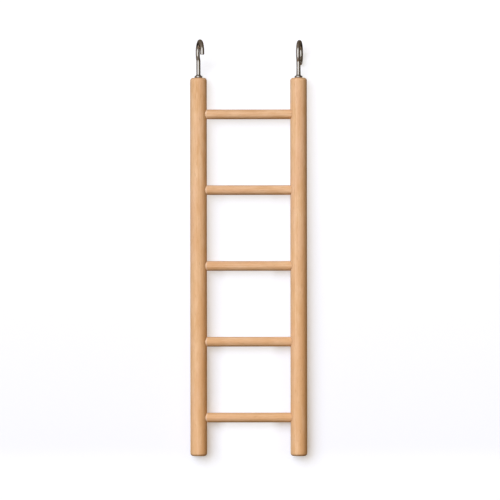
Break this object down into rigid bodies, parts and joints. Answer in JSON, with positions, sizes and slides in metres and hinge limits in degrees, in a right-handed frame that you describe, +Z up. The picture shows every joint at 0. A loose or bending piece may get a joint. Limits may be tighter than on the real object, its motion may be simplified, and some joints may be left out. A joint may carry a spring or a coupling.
{
  "type": "bird ladder",
  "caption": "Small wooden bird ladder: round rungs glued between round rails, with an open screw hook in the top of each rail to hang it from the wires of a cage.",
  "frame": {"origin": "where the cage wire lies in the hooks: midway between the rails, at the height of the inside of the hooks' crowns", "axes": "+Z up along the rails towards the hooks, +X across the ladder from the left rail to the right one as the picture shows it, +Y through the ladder, away from the camera"},
  "size_m": [0.084, 0.0298, 0.2994],
  "materials": {
    "bare_wood": "fine sanded bare light hardwood, with straight grain along each rod",
    "nickel_wire": "bright nickel plating on steel wire"
  },
  "bodies": {
    "root": {"rail_left": "bare_wood", "rail_right": "bare_wood", "rung_1": "bare_wood", "rung_2": "bare_wood", "rung_3": "bare_wood", "rung_4": "bare_wood", "rung_5": "bare_wood", "hook_left": "nickel_wire", "hook_right": "nickel_wire"}
  },
  "joints": []
}
